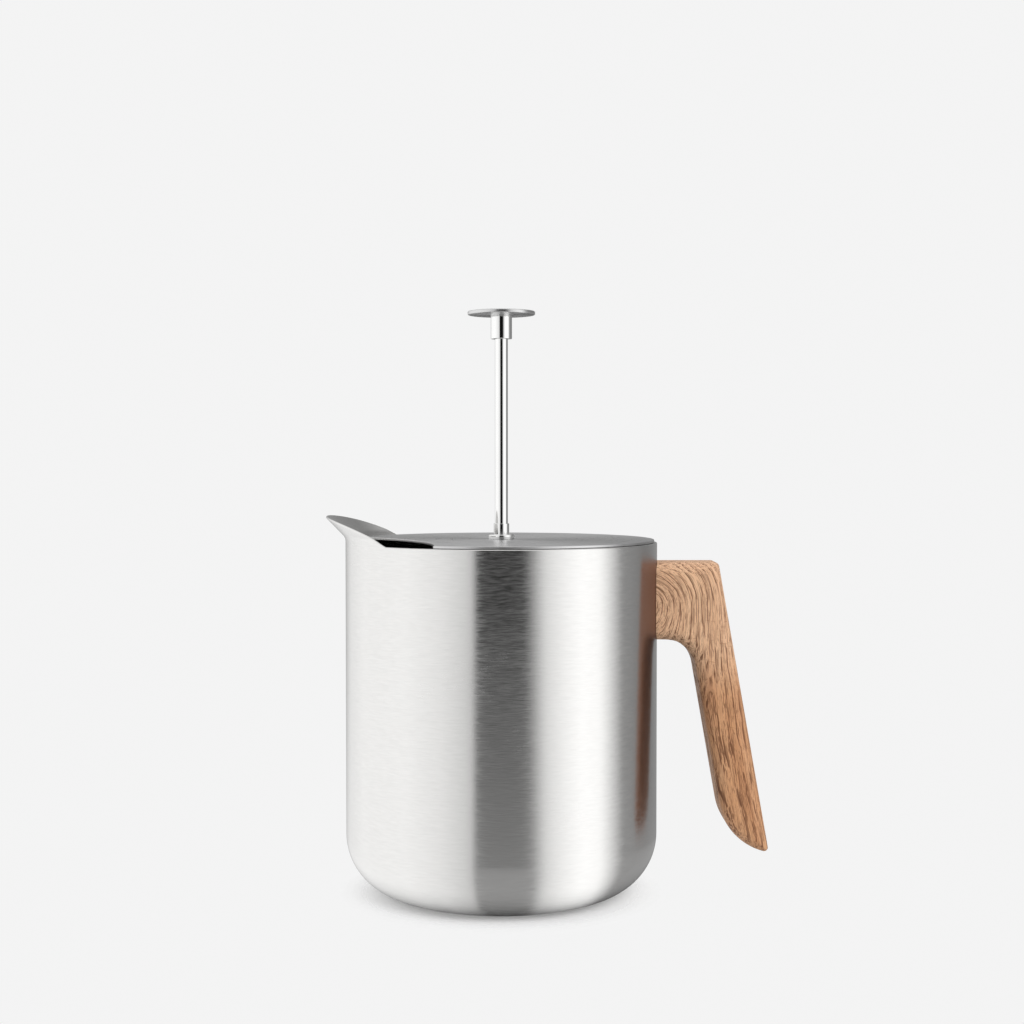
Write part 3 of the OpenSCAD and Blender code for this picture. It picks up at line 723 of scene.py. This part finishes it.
def oak():
    """Oiled oak: tan wood, rows of dark open pores in each ring, and fine rays across them. What
    other pieces mirror of it is painted darker, a painted shade, for the look alone."""
    material, tree, shader, where = new_material("oiled_oak")
    board = add_node(tree, "ShaderNodeGroup", {"Place": where}, node_tree=board_rings())
    ring_place, across, along, depth, in_arm = board.outputs

    def grain(across_mm, along_mm, depth_mm, detail=2.0, roughness=0.5):
        """Noise whose blotches have that size, in mm, across the rings, along them and in depth."""
        sizes = ((across, across_mm), (along, along_mm), (depth, depth_mm))
        place = combine(tree, *(maths(tree, "MULTIPLY", axis, 1000 / size) for axis, size in sizes))
        return noise(tree, place, 1.0, detail, roughness)

    def blend(amount, under, over):
        return mix(tree, amount, under, (*over, 1))

    wander = maths(tree, "MULTIPLY", maths(tree, "SUBTRACT", grain(5, 24, 14), 0.5), 0.9)
    rings = maths(tree, "ADD", maths(tree, "DIVIDE", ring_place, ring_width), wander)
    early = ramp(tree, maths(tree, "FRACT", rings), [(0.0, 1.0), (0.40, 0.65), (0.65, 0.20),
                                                     (0.88, 0.15), (1.0, 1.0)])
    long_pores = ramp(tree, grain(0.36, 8.5, 0.55, 2.0, 0.45), [(0.485, 0.0), (0.535, 1.0)])
    short_pores = ramp(tree, grain(0.22, 2.6, 0.3), [(0.56, 0.0), (0.62, 1.0)])
    pores = maths(tree, "MULTIPLY", long_pores, early)
    dark = maths(tree, "MAXIMUM", pores, maths(tree, "MULTIPLY", short_pores, 0.6), clamp=True)
    fibre = grain(0.3, 16, 0.4, 4.0, 0.7)
    rays = ramp(tree, grain(5.5, 0.32, 3, 2.0), [(0.66, 0.0), (0.74, 1.0)])
    tone = ramp(tree, grain(5, 45, 9, 3.0), [(0.3, (0.50, 0.245, 0.118)), (0.5, (0.62, 0.335, 0.172)),
                                             (0.72, (0.76, 0.465, 0.265))])
    tone = blend(maths(tree, "MULTIPLY", in_arm, 0.55), tone, (0.86, 0.60, 0.41))
    wood = blend(maths(tree, "MULTIPLY", early, 0.14), tone, (0.46, 0.205, 0.092))
    wood = blend(ramp(tree, fibre, [(0.32, 0.45), (0.62, 0.0)]), wood, (0.42, 0.195, 0.090))
    wood = blend(maths(tree, "MULTIPLY", rays, scaled(tree, in_arm, 0.35, 0.5)), wood, (0.36, 0.16, 0.075))
    wood = blend(maths(tree, "MULTIPLY", dark, 0.9), wood, (0.105, 0.036, 0.014))
    # Painted shade: the wood that other pieces mirror is painted darker.
    mirrored_painted_shade = add_node(tree, "ShaderNodeLightPath").outputs["Is Glossy Ray"]
    wood = blend(mirrored_painted_shade, wood, (0.20, 0.085, 0.045))
    matt = scaled(tree, dark, 0.3, 0.44)
    shader.inputs["Specular IOR Level"].default_value = 0.4
    height = maths(tree, "SUBTRACT", maths(tree, "MULTIPLY", fibre, 0.35), dark)
    dress_shader(tree, shader, wood, matt, height, 0.6, 0.15 * MM)
    return material


oak_material = oak()
handle = new_piece("oak_handle", carve_handle(), "jug", ["handle"], oak_material)
screw_low, screw_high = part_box("handle_screws")
screw_head_r = 3.5 * MM
screw_x = (screw_low.x + screw_high.x) / 2
screw_y = screw_high.y - screw_head_r
counterbore_r = screw_head_r + 0.2 * MM
counterbore_top = screw_low.z + counterbore_rise
cut_holes(handle, [(screw_x, side * screw_y, arm_bottom - arm_fillet_r, counterbore_top, counterbore_r)
                   for side in (-1, 1)])

# ---------------------------------------------------------------------------------------------
# Bracket and screws: a saddle pressed from steel, welded to the shell, whose tongue is hidden in
# the oak, and two socket-head screws that come up through the arm into the tongue.
# ---------------------------------------------------------------------------------------------


def tool_marks():
    """The faint speckle and soft scratches that machining leaves."""
    group, entry, leave = effect_group("tool_marks", ("Fineness",), ("Speckle",))
    hand_out(group, leave, [noise(group, entry.outputs["Place"], entry.outputs["Fineness"], 5.0, 0.65)])
    return group


tool_marks_group = tool_marks()


def plain_steel(name, colour, roughness, fineness):
    """Machined steel as it comes off the tool, with a faint speckle and soft scratches."""
    material, tree, shader, where = new_material(name, metallic=1.0)
    marks = add_node(tree, "ShaderNodeGroup", {"Place": where, "Fineness": fineness},
                     node_tree=tool_marks_group)
    speckle = marks.outputs["Speckle"]
    tint = ramp(tree, speckle, [(0.3, tuple(c * 0.86 for c in colour)), (0.7, colour)])
    worn = ramp(tree, speckle, [(0.3, roughness * 0.8), (0.75, roughness * 1.2)])
    dress_shader(tree, shader, tint, worn, speckle, 0.15, 0.03 * MM)
    return material


def dress_node(node, material, bevel=0.0):
    """Gives a CAD node its finish and, where its edges are broken, a small bevel."""
    piece = nodes[node]
    piece.data.materials.clear()
    piece.data.materials.append(material)
    if bevel:
        edges = piece.modifiers.new("broken_edges", "BEVEL")
        edges.width = bevel
        edges.segments = 2
        edges.limit_method = "ANGLE"
        edges.angle_limit = crease_angle
        edges.harden_normals = False


bracket_steel = plain_steel("bracket_steel", (0.50, 0.50, 0.495), 0.34, 900)
screw_steel = plain_steel("screw_steel", (0.44, 0.44, 0.445), 0.28, 1600)
dress_node("handle_bracket", bracket_steel)
dress_node("handle_screws", screw_steel)

# ---------------------------------------------------------------------------------------------
# Lid plate: a disc of 1 mm sheet with a round bite out of it for pouring. It is brushed in rings
# on a turntable before the bite is cut, and its edge is ground smooth.
# ---------------------------------------------------------------------------------------------
lid_low, lid_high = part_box("lid_plate")
lid_r = lid_high.y
lid_hole_r = 3.05 * MM
notch_r = 91.5 * MM
notch_turn = math.radians(24)
notch_depth_r = 34.7 * MM
notch_c = notch_depth_r + notch_r
lid_edge_r = 0.28 * MM


def notch_distance(angle):
    """From the lid's middle to its edge, at an angle from the middle of the notch."""
    c, r = notch_c, notch_r
    inside = r * r - (c * math.sin(angle)) ** 2
    if inside <= 0 or math.cos(angle) <= 0:
        return lid_r
    return min(lid_r, c * math.cos(angle) - math.sqrt(inside))


def lid_columns():
    """Columns across the lid, closer together along the notch and meeting its corners exactly."""
    corner = math.acos((notch_c ** 2 + lid_r ** 2 - notch_r ** 2) / (2 * notch_c * lid_r))
    bite = [corner * (2 * i / 120 - 1) for i in range(120)]
    rest = [corner + (2 * math.pi - 2 * corner) * i / 280 for i in range(280)]
    columns = []
    for angle in bite + rest:
        edge = notch_distance(angle)
        low, high, e = lid_low.z, lid_high.z, lid_edge_r
        faces = [lid_hole_r + (edge - e - lid_hole_r) * i / 12 for i in range(1, 12)]
        top = [(lid_hole_r, high)] + [(r, high) for r in faces] + arc((edge - e, high - e), e, 90, 0, 4)
        under = arc((edge - e, low + e), e, 0, -90, 4) + [(r, low) for r in faces[::-1]] + [(lid_hole_r, low)]
        turn = math.pi + notch_turn + angle
        columns.append([(r * math.cos(turn), r * math.sin(turn), z) for r, z in top + under])
    return columns


lid_steel = steel("ring_brushed_lid_steel", (0.58, 0.58, 0.58), 0.34, (60, 2600, 0.2, 0.06),
                  turned=True, stretch=0.6)
lid_mesh = bmesh.new()
skin_columns(lid_mesh, lid_columns())
new_piece("lid_disc", lid_mesh, "lid", ["lid_plate"], lid_steel)

# ---------------------------------------------------------------------------------------------
# Rod guide: a drawn tube that stands through the lid, with a cone pressed on it below and a
# thin round nut above. All three are turned and polished bright.
# ---------------------------------------------------------------------------------------------


def polished():
    """Mirror-polished stainless steel with the last faint hairlines of the polishing wheel."""
    material, tree, shader, where = new_material("polished_steel", metallic=1.0)
    marks = add_node(tree, "ShaderNodeGroup", {"Place": where, "Across": axes_of(tree, where)[2],
                                               "Along Scale": 60, "Across Scale": 3000},
                     node_tree=brush_marks_group)
    height, _, smudge = marks.outputs
    tint = ramp(tree, smudge, [(0.0, (0.80, 0.80, 0.795)), (1.0, (0.74, 0.74, 0.735))])
    dress_shader(tree, shader, tint, scaled(tree, smudge, 0.05, 0.05), height, 0.03, 0.02 * MM)
    return material


def heights(node):
    """A node's lowest and highest z, in millimetres."""
    return tuple(corner.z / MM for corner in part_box(node))


polished_steel = polished()
rod_r = 2.5
tube_r = 3
rod_bore_r = rod_r + fit
tube_seat_r = tube_r + fit / 2
tube_low, tube_high = heights("guide_tube")
nut_low, nut_high = heights("guide_nut")
collar_low, collar_high = heights("guide_collar")
turned_piece("rod_guide", [(rod_bore_r, tube_low, 0.1), (tube_r, tube_low, 0.15), (tube_r, tube_high, 0.15),
                           (rod_bore_r, tube_high, 0.1)],
             "lid_guide", ["guide_tube"], polished_steel)
turned_piece("guide_cone", [(tube_seat_r, collar_low, 0.1), (3.6, collar_low, 0.15), (4.5, collar_high, 0.12),
                            (tube_seat_r, collar_high, 0)],
             "lid_guide", ["guide_collar"], polished_steel)
turned_piece("guide_top_nut", [(tube_seat_r, nut_low, 0), (5, nut_low, 0.1), (5, nut_high - 0.35, 0.3),
                               (4.6, nut_high, 0.2), (3.6, nut_high, 0.1), (tube_seat_r, nut_high - 0.4, 0.1)],
             "lid_guide", ["guide_nut"], polished_steel)

# ---------------------------------------------------------------------------------------------
# Rod and knob: 5 mm bright bar, threaded into a boss under a thin flat disc, with an open sleeve
# that slips over the guide when the plunger is down.
# ---------------------------------------------------------------------------------------------
sleeve_r = 4.1
sleeve_in_r = 3.3
rod_seat_r = rod_r + fit / 2
boss_r = sleeve_in_r - fit / 2
rod_low, rod_high = heights("plunger_rod")
knob_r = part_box("knob_disc")[1].x / MM
knob_low, knob_high = heights("knob_disc")
sleeve_low = heights("knob_sleeve")[0]
boss_low = heights("knob_boss")[0]
turned_piece("rod", [(0, rod_low, 0), (rod_r, rod_low, 0.4),
                     *((rod_r, rod_low + z, 0) for z in (20, 50, 80)),
                     (rod_r, rod_high, 0), (0, rod_high, 0)],
             "plunger", ["plunger_rod"], polished_steel)
turned_piece("knob", [(0, knob_low, 0), (6, knob_low, 0), (knob_r, knob_low, 0.45),
                      (knob_r, knob_high, 0.45), (6, knob_high, 0), (0, knob_high, 0)],
             "plunger", ["knob_disc"], lid_steel, turns=192)
turned_piece("knob_collar", [(sleeve_in_r, sleeve_low, 0.15), (sleeve_r, sleeve_low, 0.25),
                             (sleeve_r, knob_low, 0), (sleeve_in_r, knob_low, 0)],
             "plunger", ["knob_sleeve"], polished_steel)
turned_piece("knob_thread_boss", [(rod_seat_r, boss_low, 0.1), (boss_r, boss_low, 0.2), (boss_r, knob_low, 0),
                                  (rod_seat_r, knob_low, 0)],
             "plunger", ["knob_boss"], bracket_steel)

# ---------------------------------------------------------------------------------------------
# Filter hub: a long sleeve nut with a rounded shoulder, which clamps the filter from above. It
# is turned from bar and polished like the rod.
# ---------------------------------------------------------------------------------------------
hub_r = 3.9
hub_low, hub_high = heights("filter_hub")
turned_piece("filter_sleeve_nut", [(rod_seat_r, hub_low, 0), (hub_r, hub_low, 0.1), (hub_r, hub_high, 0.8),
                                   (rod_seat_r, hub_high, 0.1)],
             "plunger", ["filter_hub"], polished_steel)

# ---------------------------------------------------------------------------------------------
# Filter frame and grid: two black moulded rings with spokes, which hold the mesh and the seal
# between them. Their outsides have the satin of a fine-sparked mould, and a painted sheen that turns them grey
# at glancing angles.
# ---------------------------------------------------------------------------------------------


def mould_finish():
    """The fine even grain of a spark-eroded mould, and soft patches of dust."""
    group, entry, leave = effect_group("mould_finish", ("Grain",), ("Spark", "Dust"))
    place = entry.outputs["Place"]
    spark = noise(group, place, entry.outputs["Grain"], 3.0, 0.7)
    hand_out(group, leave, (spark, noise(group, place, 45.0, 4.0)))
    return group


mould_finish_group = mould_finish()


def moulded(name, colour, roughness, grain, bump, highlight_past=None):
    """Black moulded plastic or silicone with a fine even grain and dusty patches, painted lighter grey
    towards glancing angles as a painted sheen. Past the radius in the last argument it is painted pale: a
    painted highlight."""
    material, tree, shader, where = new_material(name)
    finish = add_node(tree, "ShaderNodeGroup", {"Place": where, "Grain": grain}, node_tree=mould_finish_group)
    spark, dust = finish.outputs
    tint = ramp(tree, dust, [(0.35, colour), (0.75, tuple(c * 1.7 for c in colour))])
    if highlight_past:
        # Painted highlight: past that radius the lip's edge is painted pale grey.
        painted_highlight = add_node(tree, "ShaderNodeMapRange", {"Value": from_axis(tree, where), "From Min": highlight_past,
                                                       "From Max": highlight_past + 0.25 * MM}).outputs["Result"]
        tint = mix(tree, maths(tree, "MULTIPLY", painted_highlight, spark), tint, (0.85, 0.85, 0.85, 1))
    # Painted sheen: the colour is painted lighter grey towards glancing angles.
    glancing_painted_sheen = add_node(tree, "ShaderNodeLayerWeight", {"Blend": 0.5}).outputs["Facing"]
    tint = mix(tree, glancing_painted_sheen, tint, (0.34, 0.34, 0.342, 1))
    shader.inputs["Specular IOR Level"].default_value = 1.0
    patchy = ramp(tree, dust, [(0.3, roughness * 0.9), (0.7, roughness * 1.15)])
    dress_shader(tree, shader, tint, patchy, spark, bump, 0.04 * MM)
    return material


def add_spun(mesh, corners, turns):
    """Adds a turned ring, from corners in millimetres, to a mesh that has other parts."""
    skin_columns(mesh, spun(rounded([(r * MM, z * MM, e * MM) for r, z, e in corners], 4), turns))


def add_spokes(mesh, count, inner_r, outer_r, low, high, width):
    """Bars with softened edges from the hub to the ring."""
    for i in range(count):
        made = bmesh.ops.create_cube(mesh, size=1.0)["verts"]
        bmesh.ops.scale(mesh, verts=made, vec=((outer_r - inner_r) * MM, width * MM, (high - low) * MM))
        bmesh.ops.translate(mesh, verts=made, vec=((outer_r + inner_r) / 2 * MM, 0, (low + high) / 2 * MM))
        edges = list({e for v in made for e in v.link_edges})
        made = bmesh.ops.bevel(mesh, geom=edges, offset=0.35 * MM, segments=3, profile=0.5,
                               affect="EDGES")["verts"]
        turn = Matrix.Rotation(2 * math.pi * i / count, 3, "Z")
        bmesh.ops.rotate(mesh, cent=(0, 0, 0), verts=made, matrix=turn)


black_plastic = moulded("satin_black_plastic", (0.008, 0.008, 0.0083), 0.24, 5200, 0.15)
# The silicone's edge past 51.95 mm carries a painted highlight.
black_silicone = moulded("black_silicone", (0.010, 0.010, 0.0105), 0.30, 2600, 0.10, highlight_past=51.95 * MM)
filter_low = heights("filter_grid")[0]
frame_low, filter_top = heights("filter_frame")
mesh_low, mesh_high = heights("filter_mesh")
core_r = 49.9
band_r = 52.0
band_in_r = 48.4
band_low = filter_top - 4.2
frame_hub_r = 7
frame_hub_h = 5
frame_spoke_t = 3
grid_flange_r = 51.8
grid_flange_top = filter_low + 2.8
grid_opening_r = 46.3
grid_hub_r = 8
web_low = mesh_low - 1.2
spokes = 6
spoke_w = 3.2
spoke_root = 0.6
spoke_gap = 0.02

frame_mesh = bmesh.new()
add_spun(frame_mesh, [(band_in_r, frame_low, 0.1), (core_r, frame_low, 0.1), (core_r, band_low, 0.15),
                      (band_r - 0.3, band_low, 0.25), (band_r, filter_top, 0.35),
                      (band_in_r + 1, filter_top, 0.3), (band_in_r, filter_top - 1, 0.4)], 256)
add_spun(frame_mesh, [(rod_bore_r, frame_low, 0), (frame_hub_r, frame_low, 0.1),
                      (frame_hub_r, frame_low + frame_hub_h, 0.5),
                      (rod_bore_r, frame_low + frame_hub_h, 0.1)], 96)
add_spokes(frame_mesh, spokes, frame_hub_r - spoke_root, band_in_r + spoke_root, frame_low + spoke_gap,
           frame_low + frame_spoke_t, spoke_w)
new_piece("filter_top_ring", frame_mesh, "plunger", ["filter_frame"], black_plastic)

grid_mesh = bmesh.new()
add_spun(grid_mesh, [(grid_opening_r, filter_low, 0.3), (grid_flange_r, filter_low, 0.4),
                     (grid_flange_r, grid_flange_top, 0.3), (core_r, grid_flange_top, 0.1),
                     (core_r, mesh_low, 0.1), (grid_opening_r, mesh_low, 0.1)], 256)
add_spun(grid_mesh, [(rod_bore_r, web_low, 0.05), (grid_hub_r, web_low, 0.3), (grid_hub_r, mesh_low, 0),
                     (rod_bore_r, mesh_low, 0)], 96)
add_spokes(grid_mesh, spokes, grid_hub_r - spoke_root, grid_opening_r + spoke_root, web_low,
           mesh_low - spoke_gap, spoke_w)
new_piece("filter_bottom_ring", grid_mesh, "plunger", ["filter_grid"], black_plastic)

# ---------------------------------------------------------------------------------------------
# Seal: a moulded silicone ring in the groove between the two rings, with a thin lip that flares
# down and out to wipe the jug's bore. The lip's edge is painted pale: a painted highlight.
# ---------------------------------------------------------------------------------------------
seal_in_r = core_r + fit
seal_lower_r = 51
seal_upper_r = 51.3
lip_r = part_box("seal_ring")[1].x / MM
lip_z = filter_low + 5.1
lip_t = 0.5
lip_slope = 0.7
seal_low, seal_high = heights("seal_ring")
turned_piece("silicone_seal", [(seal_in_r, seal_low, 0.1), (seal_lower_r, seal_low, 0.2),
                               (seal_lower_r, lip_z + lip_slope, 0.2), (lip_r, lip_z, 0.12),
                               (lip_r, lip_z + lip_t, 0.2), (seal_upper_r, lip_z + lip_slope + lip_t, 0.3),
                               (seal_upper_r, seal_high, 0.25), (seal_in_r, seal_high, 0.1)],
             "plunger", ["seal_ring"], black_silicone, turns=256)

# ---------------------------------------------------------------------------------------------
# Mesh and spreader: a disc of fine woven steel wire, and the punched disc that keeps it flat.
# The spreader is brushed in rings.
# ---------------------------------------------------------------------------------------------


def woven_steel():
    """Plain weave of fine steel wire: each wire goes over and under the ones it crosses."""
    material, tree, shader, where = new_material("woven_steel_mesh", metallic=1.0)
    pitch = 0.36 * MM
    x, y = (maths(tree, "MULTIPLY", axis, math.pi / pitch) for axis in axes_of(tree, where)[:2])
    wire_x = maths(tree, "ABSOLUTE", maths(tree, "SINE", x))
    wire_y = maths(tree, "ABSOLUTE", maths(tree, "SINE", y))
    over = maths(tree, "MULTIPLY", maths(tree, "COSINE", x), maths(tree, "COSINE", y))
    lift = maths(tree, "MULTIPLY", over, 0.5)
    warp = maths(tree, "ADD", wire_x, lift)
    weft = maths(tree, "SUBTRACT", wire_y, lift)
    height = maths(tree, "MAXIMUM", warp, weft)
    # Painted shade: the colour is painted near black where the weave sinks, between the wires and down their
    # sides.
    tint = ramp(tree, height, [(0.55, (0.03, 0.03, 0.032)), (0.9, (0.46, 0.455, 0.45))])
    worn = ramp(tree, height, [(0.5, 0.7), (1.0, 0.26)])
    dress_shader(tree, shader, tint, worn, height, 0.7, 0.08 * MM)
    return material


mesh_r = core_r - fit
turned_piece("mesh_disc", [(rod_bore_r, mesh_low, 0), (25, mesh_low, 0), (mesh_r, mesh_low, 0.1),
                           (mesh_r, mesh_high, 0.1), (25, mesh_high, 0), (rod_bore_r, mesh_high, 0)],
             "plunger", ["filter_mesh"], woven_steel(), turns=192)
punched_steel = steel("punched_spreader_steel", (0.56, 0.555, 0.55), 0.30, (40, 3000, 0.2, 0.08),
                      turned=True, stretch=0)
dress_node("spreader_plate", punched_steel)

# ---------------------------------------------------------------------------------------------
# Washer and nut: they clamp the filter's pieces to the rod from below, and are undone to clean it.
# Both are machined from the bracket's steel, with their edges broken.
# ---------------------------------------------------------------------------------------------
dress_node("clamp_washer", bracket_steel, bevel=0.12 * MM)
dress_node("clamp_nut", bracket_steel, bevel=0.15 * MM)
